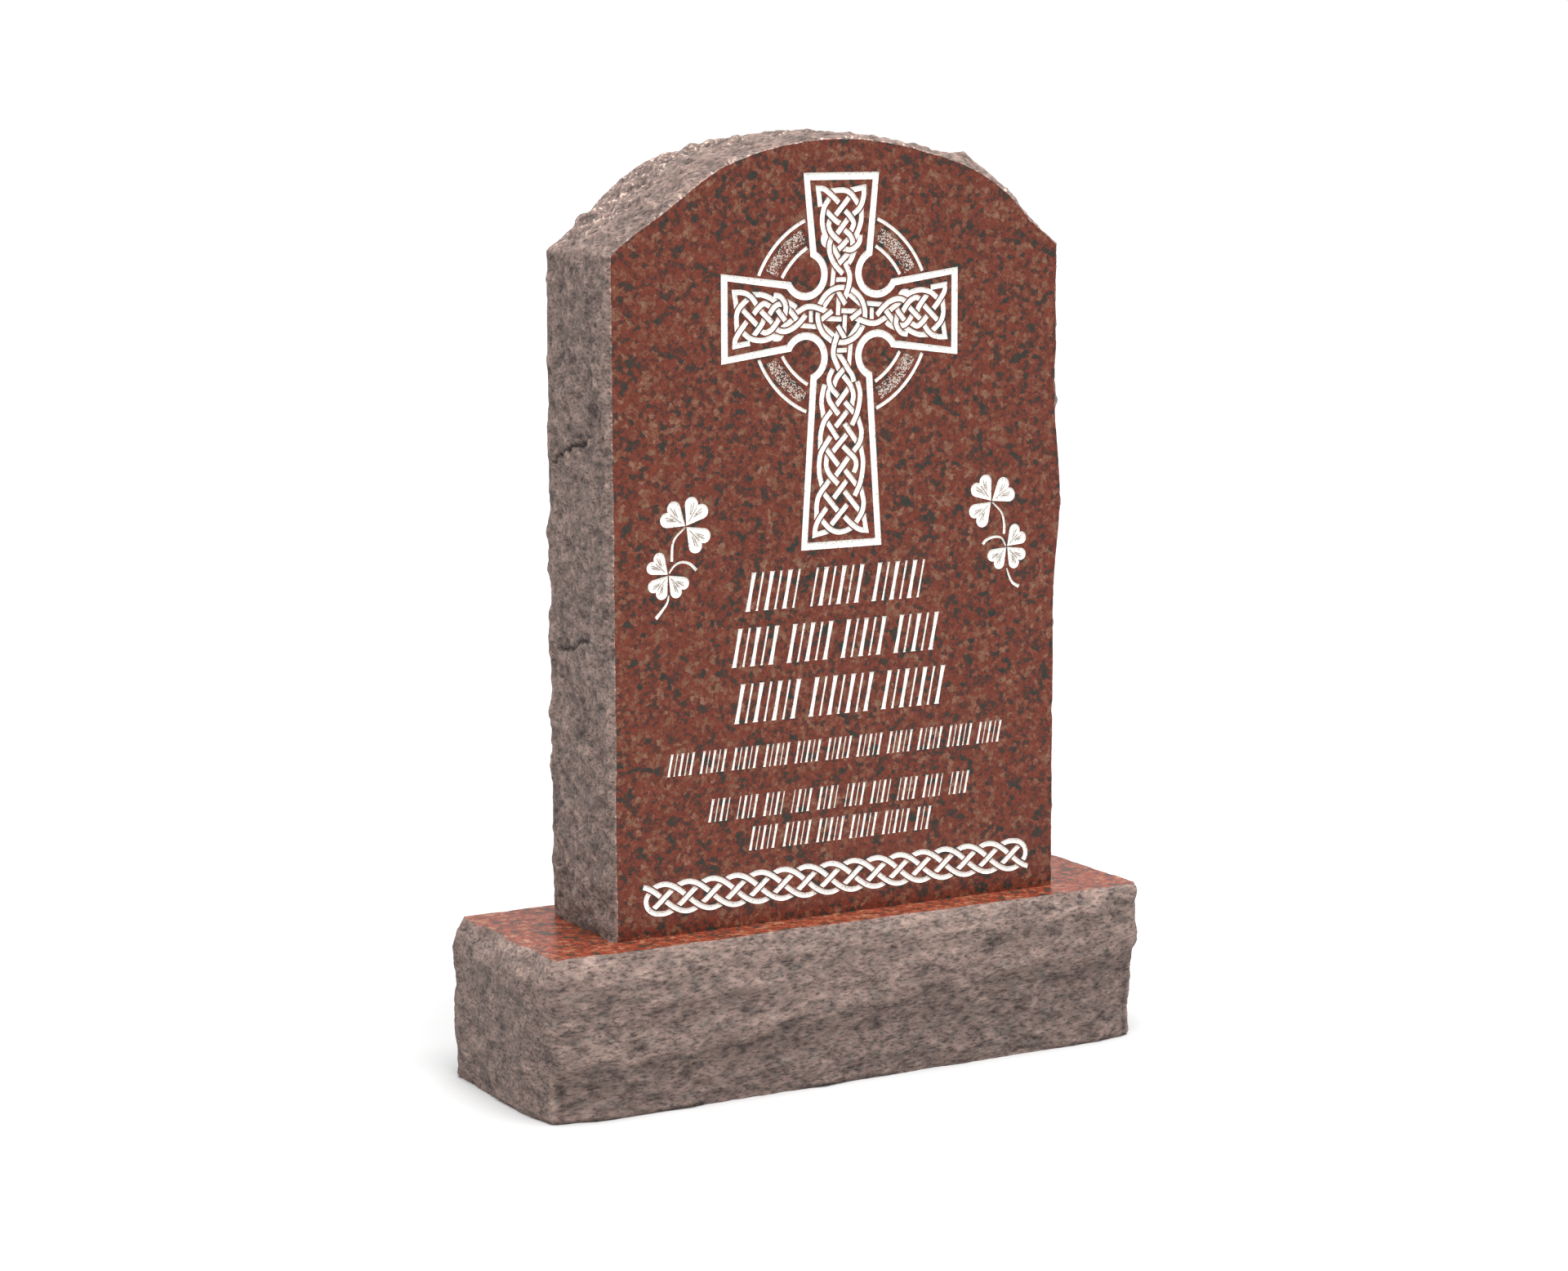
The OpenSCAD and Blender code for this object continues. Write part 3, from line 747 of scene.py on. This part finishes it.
# The relief of a rock-pitched side, whose points p unroll to flat within reach: broad swells and fine grain
# by fractal noise, chisel scars and small dints by bowls.
def pitchedRelief(rng, p, flat, reach, shape, r):
    wide = scatter(rng, *reach, r["scar"])
    scar = scars(flat, wide, rng.uniform(*r["scarRadius"], len(wide)),
                 rng.uniform(0, r["scarLift"], len(wide)))
    small = scatter(rng, *reach, r["dint"])
    wander = 3 * np.stack([noise(p / r["wander"], r["seeds"][0] + n) for n in (0, 1)], -1)
    dint = scars(flat + wander, small, rng.uniform(9, 20, len(small)), rng.uniform(0, 2, len(small)))
    rough = (r["broad"] * fractal(p * r["broadStretch"], r["broadSize"], 3, r["seeds"][1])
             + r["scarDepth"] * (scar / r["scarSoft"] - 0.6) + r["dintDepth"] * (dint - 1.5))
    fine = r["fine"] * fractal(p * r["fineStretch"], r["fineSize"], 3, r["seeds"][2], 0.6)
    return softened(rough.reshape(shape), 2).ravel() + fine


# How far each point of a grid of heights stands above those two steps away from it, between two limits.
def standsOut(out, shape):
    grid = out.reshape(shape)
    around = grid.copy()
    around[2:-2, 2:-2] = (grid[:-4, 2:-2] + grid[4:, 2:-2] + grid[2:-2, :-4] + grid[2:-2, 4:]) / 4
    return np.clip((grid - around).ravel(), -2.2, 1.4)


# A flat cap over one loop; lift turns its points' two measures into three, and flip -1 turns it over.
def flatCap(loop, lift, slot, flip=1):
    points, triangles, _ = fillLoops([loop])
    return lift(points), triangles[:, ::flip], slot, np.full(len(points), evenWearAndLight)


inset = 0.4  # the stones stay this far inside the CAD's box
evenWearAndLight = 0.5  # neither paler from wear and painted highlight nor darker from painted shade

# Lengths in millimetres. A haunch is (place along the arc from its left end and reach, as shares of the arc,
# height at the front, height at the back). A crack is (place along the outline, slope, its fading range at
# the back, the one at the front, depth, seed), and the hollow (place along, place across, size, depth).
tablet = {"width": 598.0, "thickness": 165.0, "shoulder": 784.0, "rise": 131.0, "step": 2.6, "swell": 5.0,
          "edge": 9.0, "topRough": 1.35, "nibble": 2.8, "lowBite": 7.0, "sideRight": (480, 120, 8.0),
          "haunches": [(0.14, 0.14, -8, 0), (0.22, 0.11, 0, 6), (0.07, 0.08, 0, -8), (0.935, 0.08, -4, -4)],
          "haunchRight": (0.8, 0.15, 13.0), "hollow": (605, -48, 20, 4.0),
          "cracks": [(566, 0.35, (-72, -52), (22, 44), 3.8, 5), (336, 0.3, (-58, -38), (18, 40), 3.4, 6)],
          "chipAndHighlight": 2.4, "glint": 0.7, "seed": 4,
          "relief": {"broad": 3.0, "broadSize": 95, "broadStretch": (1, 1, 1), "scar": 30.0, "scarDepth": 3.2,
                     "scarRadius": (24, 60), "scarLift": 4.5, "scarSoft": 6, "dint": 13, "dintDepth": 0.6,
                     "wander": 20, "fine": 1.3, "fineSize": 12, "fineStretch": (1, 1, 1),
                     "seeds": (91, 11, 21)}}


# Points and outward directions of the tablet's outline, s along it from the left foot over the top: straight
# sides, and an arc of radius (half^2 + rise^2) / (2 rise).
def tabletOutline(s):
    t = tablet
    half, rise, low = t["width"] / 2, t["rise"], t["shoulder"]
    r = (half ** 2 + rise ** 2) / (2 * rise)
    spread = math.asin(half / r)
    total = 2 * low + 2 * r * spread
    a = np.clip((s - low) / r - spread, -spread, spread)
    left, right = s < low, s > total - low
    x = np.where(left, -half, np.where(right, half, r * np.sin(a)))
    z = np.where(left, s, np.where(right, total - s, low + rise - r + r * np.cos(a)))
    nx = np.where(left, -1.0, np.where(right, 1.0, np.sin(a)))
    nz = np.where(left | right, 0.0, np.cos(a))
    return x, z, nx, nz, total


# The large breaks, by humps along the outline whose height changes evenly from front to back. The right
# haunch rises just behind the front arris, and sideRight is placed from the right foot.
def haunches(s, v, total):
    t = tablet
    low, arc = t["shoulder"], total - 2 * t["shoulder"]
    humps = [(at, reach, front + (back - front) * v) for at, reach, front, back in t["haunches"]]
    at, reach, height = t["haunchRight"]
    humps.append((at, reach, height * (0.3 + 0.9 * ramp01(v, 0, 0.2))))
    at, reach, height = t["sideRight"]
    side = height * hump(s, total - at, reach)
    return side + sum(h * hump(s, low + arc * a, arc * r) for a, r, h in humps)


# A rough crack across a side: a narrow groove along a wandering slanted line, and a low step over it.
def crack(s, y, at, slope, back, front, depth, seed):
    off = (s - at) - slope * y + 8 * noise(np.stack([s / 13, y / 13, s * 0 + seed], -1), seed)
    reach = ramp01(y, back[0], back[1]) * (1 - ramp01(y, front[0], front[1]))
    step = ramp01(off, -1, 2) * ramp01(-off, -16, 0)
    return -depth * reach * (np.exp(-(off / 1.7) ** 2) + 0.45 * step)


# The tablet's rough skin as a grid of points and their wear and painted light: the outline carried through
# the thickness, v from front to back, and moved along outward directions averaged over a few places, to ease
# the shoulders.
def tabletSkin():
    t = tablet
    rng = np.random.default_rng(t["seed"])
    total = float(tabletOutline(np.zeros(1))[4])
    shape = (int(total / t["step"]), int(t["thickness"] / t["step"]))
    s, v = np.meshgrid(np.linspace(0, total, shape[0]), np.linspace(0, 1, shape[1]), indexing="ij")
    s, v = s.ravel(), v.ravel()
    x, z, nx, nz, _ = tabletOutline(s)
    nearBy = [tabletOutline(np.clip(s + d, 0, total))[2:4] for d in (-6, -3, 3, 6)]
    nx, nz = nx + sum(q[0] for q in nearBy), nz + sum(q[1] for q in nearBy)
    long = np.hypot(nx, nz)
    nx, nz = nx / long, nz / long
    y = (v - 0.5) * t["thickness"]
    p = np.stack([x, y, z], -1)
    top = ramp01(z, t["shoulder"] - 20, t["shoulder"] + 40)
    inward = np.minimum(v, 1 - v) * t["thickness"]
    edge = ramp01(inward, 0, t["edge"])
    half = t["thickness"] / 2
    rough = pitchedRelief(rng, p, np.stack([s, y], -1), ((0, total), (-half, half)), shape, t["relief"])
    rough = rough * (1 + (t["topRough"] - 1) * top)
    loss = arrisLoss(p, t["nibble"], 31) * (1 - v) + arrisLoss(p + 400, t["nibble"], 41) * v
    lowLeft = (x < 0) * (1 - v) * ramp01(-z, -430, -60)
    loss += t["lowBite"] * lowLeft * np.maximum(0, fractal(p, 85, 2, 33) + 0.2)
    cracks = sum(crack(s, -y, *c) for c in t["cracks"])
    at, across, size, depth = t["hollow"]
    hollow = np.exp(-((s - at) / size) ** 2 - ((y - across) / size) ** 2)
    out = (t["swell"] * edge ** 0.5 * (1 - 0.35 * (2 * v - 1) ** 2) + edge * rough - loss
           + haunches(s, v, total) + cracks - depth * hollow)
    place = np.stack([x + nx * out, y, np.maximum(0, z + nz * out) + tabletFoot], -1)
    # What stands above the shoulders is lowered in proportion where the roughness would pass the block's top.
    shoulderAt = t["shoulder"] + tabletFoot
    room = (cadBox[1][2] / mm - inset - shoulderAt) / (place[:, 2].max() - shoulderAt)
    lowered = shoulderAt + (place[:, 2] - shoulderAt) * min(1, room)
    place[:, 2] = np.where(place[:, 2] > shoulderAt, lowered, place[:, 2])
    # Painted shade and highlight: ridges that stand out are paler, hollows, the cracks and the hollow darker;
    # pale chips run along the arrises, painted brighter on top as a highlight, and there are painted glints
    # on top.
    chipsAndHighlight = 0.12 + 1.5 * np.maximum(0, noise(p / 3.4, 95)) * (1 + 1.5 * top)
    wearAndPaintedLight = evenWearAndLight + 0.2 * standsOut(out, shape) + 0.15 * cracks - 0.3 * hollow
    wearAndPaintedLight += np.exp(-(inward / t["chipAndHighlight"]) ** 2) * chipsAndHighlight
    wearAndPaintedLight += t["glint"] * top * ramp01(v, 0.1, 0.9) * (noise(p / 3.1, 96) > 0.26)
    return place.reshape(*shape, 3), np.clip(wearAndPaintedLight, 0, 1)


# What each triangle of the face is: 1 where a painted loop holds it and no loop that takes from that one
# does, 2 for stipple in the same way, or 0 for the polished face.
def carvedKinds(has, carved):
    kinds = np.array([k for _, k, _ in carved])
    alive = has.copy()
    for cutter in np.flatnonzero(kinds == 0):
        alive[:, carved[cutter][2]] &= ~has[:, cutter]
    return np.where((alive & (kinds == 1)).any(1), 1, np.where((alive & (kinds == 2)).any(1), 2, 0))


# The polished front with the carving: floors sunk under the painted and stippled triangles, and a wall along
# each edge between two triangles of different depth.
def carvedFace(rim):
    carved = carvedLoops()
    points, triangles, inside = fillLoops([rim] + [q for q, _, _ in carved])
    kind = carvedKinds(inside[:, 1:], carved)
    depths, slots = (0.0, carving["depth"], carving["stippleDepth"]), (0, 2, 3)
    front = -tablet["thickness"] / 2

    def lifted(depth):
        return np.stack([points[:, 0], np.full(len(points), front + depth), points[:, 1] + tabletFoot], -1)

    wearAndPaintedLight = np.full(len(points), evenWearAndLight)
    parts = [(lifted(depths[k]), triangles[kind == k], slots[k], wearAndPaintedLight) for k in range(3)]
    sides = np.concatenate([triangles[:, [n, (n + 1) % 3]] for n in range(3)])
    owner = np.tile(kind, 3)
    code = sides[:, 0] * len(points) + sides[:, 1]
    back = sides[:, 1] * len(points) + sides[:, 0]
    order = np.argsort(code)
    found = order[np.minimum(np.searchsorted(code[order], back), len(code) - 1)]
    other = np.where(code[found] == back, owner[found], -1)
    for low, high in ((1, 0), (2, 0), (1, 2)):
        wall = sides[(owner == low) & (other == high)]
        if len(wall) > 0:
            faces = np.stack([wall[:, 1], wall[:, 0], wall[:, 0] + len(points), wall[:, 1] + len(points)], -1)
            ends = np.concatenate([lifted(depths[low]), lifted(depths[high])])
            parts.append((ends, faces, slots[low], np.tile(wearAndPaintedLight, 2)))
    print("carving cut:", len(carved), "loops")
    return parts


# The tablet: its rough skin, the carved front, the polished back and the sawn foot.
def makeTablet():
    grid, wearAndPaintedLight = tabletSkin()
    rims = [grid[:, n][:, [0, 2]] - (0, tabletFoot) for n in (0, -1)]
    foot = np.vstack([grid[0][:, :2], grid[-1][::-1, :2]])
    rear = tablet["thickness"] / 2
    parts = [(grid.reshape(-1, 3), gridFaces(*grid.shape[:2]), 1, wearAndPaintedLight)] + carvedFace(rims[0])
    parts.append(flatCap(rims[1], lambda q: np.insert(q + (0, tabletFoot), 1, rear, axis=1), 0, -1))
    parts.append(flatCap(foot, lambda q: np.insert(q, 2, tabletFoot, axis=1), 1, -1))
    piece = makeStone("tabletStone", parts, [polished, pitched, paint, stippled])
    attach(piece, "root")
    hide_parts("tablet")
    print("tablet made:", len(piece.data.polygons), "faces")


makeTablet()

# Lengths in millimetres; heights of the front's ridge are shares of the block's height.
base = {"width": 808.0, "depth": 256.0, "height": tabletFoot, "corner": 10.0, "step": 2.8, "swell": 10.0,
        "swellReach": 30.0, "nibble": 5.5, "undercut": 5.0, "leftBite": 9.0, "rightBite": 9.0,
        "footCorner": 15.0, "endIn": 6.0, "endSlope": 5.0, "ridgeAt": 0.5, "ridgeSlope": 0.14,
        "ridgeWander": 9.0, "lip": 3.5, "underRidge": 5.0, "seed": 9,
        "relief": {"broad": 4.0, "broadSize": 110, "broadStretch": (0.6, 0.6, 1), "scar": 44.0,
                   "scarDepth": 4.0, "scarRadius": (40, 90), "scarLift": 6, "scarSoft": 8, "dint": 12,
                   "dintDepth": 0.45, "wander": 22, "fine": 1.15, "fineSize": 11,
                   "fineStretch": (0.45, 0.45, 1), "seeds": (71, 51, 61)}}


# Points and outward directions round the base's top, clockwise seen from above, from the back-left corner:
# four straight sides and four quarter circles.
def baseLoop(step):
    b = base
    r = b["corner"]
    x, y = b["width"] / 2 - r, b["depth"] / 2 - r
    corners = [((-x, y), math.pi), ((x, y), math.pi / 2), ((x, -y), 0.0), ((-x, -y), -math.pi / 2)]
    points, ways = [], []
    for (c, start), (nextC, _) in zip(corners, corners[1:] + corners[:1]):
        a = start - np.linspace(0, math.pi / 2, max(3, int(r * math.pi / 2 / step)))
        way = np.stack([np.cos(a), np.sin(a)], -1)
        points.append(np.array(c) + r * way)
        ways.append(way)
        run = np.array(nextC) - c
        k = int(np.linalg.norm(run) / step)
        along = np.arange(1, k)[:, None] / k
        points.append(np.array(c) + r * way[-1] + run * along)
        ways.append(np.repeat(way[-1:], k - 1, 0))
    return np.vstack(points), np.vstack(ways)


# How far the base's corners and right end are set back as a whole: the front's left corner at its foot, its
# right corner below the top, and the end more towards its foot.
def cornersSetBack(p, v, inTop):
    b = base
    x, y = b["width"] / 2, b["depth"] / 2
    left = b["footCorner"] * hump(np.hypot(p[:, 0] + x, p[:, 1] + y), 0, 75) * v
    right = b["rightBite"] * hump(np.hypot(p[:, 0] - x, p[:, 1] + y), 0, 80) * ramp01(inTop, 0, 30)
    moved = (np.outer(left, (1, 1)) + np.outer(right, (-1, 1))) * math.sqrt(0.5)
    moved[:, 0] -= (b["endIn"] + b["endSlope"] * v) * ramp01(p[:, 0], x - 80, x - b["corner"])
    return moved


# The base's rough skin as a grid of points and their wear and painted light: the loop carried down, v from
# the top to the foot, and moved outwards.
def baseSkin():
    b = base
    rng = np.random.default_rng(b["seed"])
    loop, way = baseLoop(b["step"])
    shape = (len(loop), int(b["height"] / b["step"]))
    k, v = np.meshgrid(np.arange(shape[0]), np.linspace(0, 1, shape[1]), indexing="ij")
    k, v = k.ravel(), v.ravel()
    p = np.column_stack([loop[k], b["height"] * (1 - v)])
    around = np.concatenate([[0], np.cumsum(np.linalg.norm(np.diff(loop, axis=0), axis=1))])[k] / 1.7
    reach = ((0, around.max()), (0, b["height"]))
    rough = pitchedRelief(rng, p, np.stack([around, p[:, 2]], -1), reach, shape, b["relief"])
    frontness, leftness = ramp01(-way[k, 1], 0.3, 0.9), ramp01(-way[k, 0], 0.3, 0.9)
    inTop, inFoot = v * b["height"], (1 - v) * b["height"]
    edge = ramp01(inTop, 0, 9) * ramp01(inFoot, 0, 6)
    # The front's long ridge, lower at the left end, with the stone cut back under it.
    ridge = b["height"] * (b["ridgeAt"] + b["ridgeSlope"] * np.clip(p[:, 0] / 400, -1, 1))
    ridge = ridge + b["ridgeWander"] * noise(p / 70, 77)
    under = ramp01(ridge - p[:, 2], 0, 34) * frontness
    lip = np.exp(-((p[:, 2] - ridge - 8) / 16) ** 2) * frontness
    loss = (arrisLoss(p, b["nibble"], 81) * np.exp(-(inTop / 12))
            + arrisLoss(p + 300, b["nibble"], 85) * np.exp(-(inFoot / 9)))
    leftBite = leftness * b["leftBite"] * np.maximum(0, fractal(p, 60, 2, 87) + 0.35)
    loss = loss + leftBite * np.exp(-((inTop / 22) ** 2))
    out = (b["swell"] * ramp01(inTop, 0, b["swellReach"]) ** 0.7 - b["undercut"] * v ** 2.5 + edge * rough
           + b["lip"] * lip - b["underRidge"] * under - loss)
    place = np.column_stack([p[:, :2] + way[k] * out[:, None] + cornersSetBack(p, v, inTop), p[:, 2]])
    limit = np.array(cadBox[1][:2]) / mm - inset
    place[:, :2] = np.clip(place[:, :2], -limit, limit)
    # Painted shade and highlight: ridges that stand out are paler and hollows darker, painted shade under the
    # front's ridge, and a pale band along the top arris, part chipping and part painted highlight.
    wearAndPaintedLight = evenWearAndLight + 0.2 * standsOut(out, shape) - 0.1 * under + 0.22 * np.exp(-(inTop / 7) ** 2)
    return place.reshape(*shape, 3), np.clip(wearAndPaintedLight, 0, 1)


# The base: its rough skin, the polished top and the sawn underside.
def makeBase():
    grid, wearAndPaintedLight = baseSkin()
    parts = [(grid.reshape(-1, 3), gridFaces(*grid.shape[:2], True), 1, wearAndPaintedLight)]
    parts.append(flatCap(grid[:, 0, :2], lambda q: np.insert(q, 2, base["height"], axis=1), 0))
    parts.append(flatCap(grid[:, -1, :2], lambda q: np.insert(q, 2, 0.0, axis=1), 1, -1))
    piece = makeStone("baseStone", parts, [polishedTopLitCopy, pitched])
    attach(piece, "root")
    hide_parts("base")
    print("base made:", len(piece.data.polygons), "faces")


makeBase()

# Strengths of the light, its softness in degrees and the direction it comes from.
studio = {"floor": 0.52, "world": 1.0, "sun": 4.4, "softness": 40.0, "sunFrom": (-0.05, -0.33, 1.0),
          "reach": 60}


# A pale floor, an even white surrounding and one broad soft light from above and a little in front.
def makeStudio():
    far = studio["reach"]
    mesh = bpy.data.meshes.new("floor")
    mesh.from_pydata([(-far, -far, 0), (far, -far, 0), (far, far, 0), (-far, far, 0)], [], [(0, 1, 2, 3)])
    floor = bpy.data.objects.new("floor", mesh)
    bpy.context.scene.collection.objects.link(floor)
    material, _, shader = newMaterial("pale floor", 0.9, 0.0)
    shader.inputs["Base Color"].default_value = (studio["floor"],) * 3 + (1,)
    mesh.materials.append(material)
    world = bpy.data.worlds.new("studio")
    world.use_nodes = True
    white, strength = world.node_tree.nodes["Background"].inputs[:2]
    white.default_value, strength.default_value = (1, 1, 1, 1), studio["world"]
    bpy.context.scene.world = world
    lamp = bpy.data.lights.new("overhead", "SUN")
    lamp.energy, lamp.angle = studio["sun"], math.radians(studio["softness"])
    holder = bpy.data.objects.new("overhead", lamp)
    holder.rotation_euler = (-Vector(studio["sunFrom"])).to_track_quat("-Z", "Y").to_euler()
    bpy.context.scene.collection.objects.link(holder)
    bpy.context.scene.view_settings.view_transform = "Standard"


makeStudio()
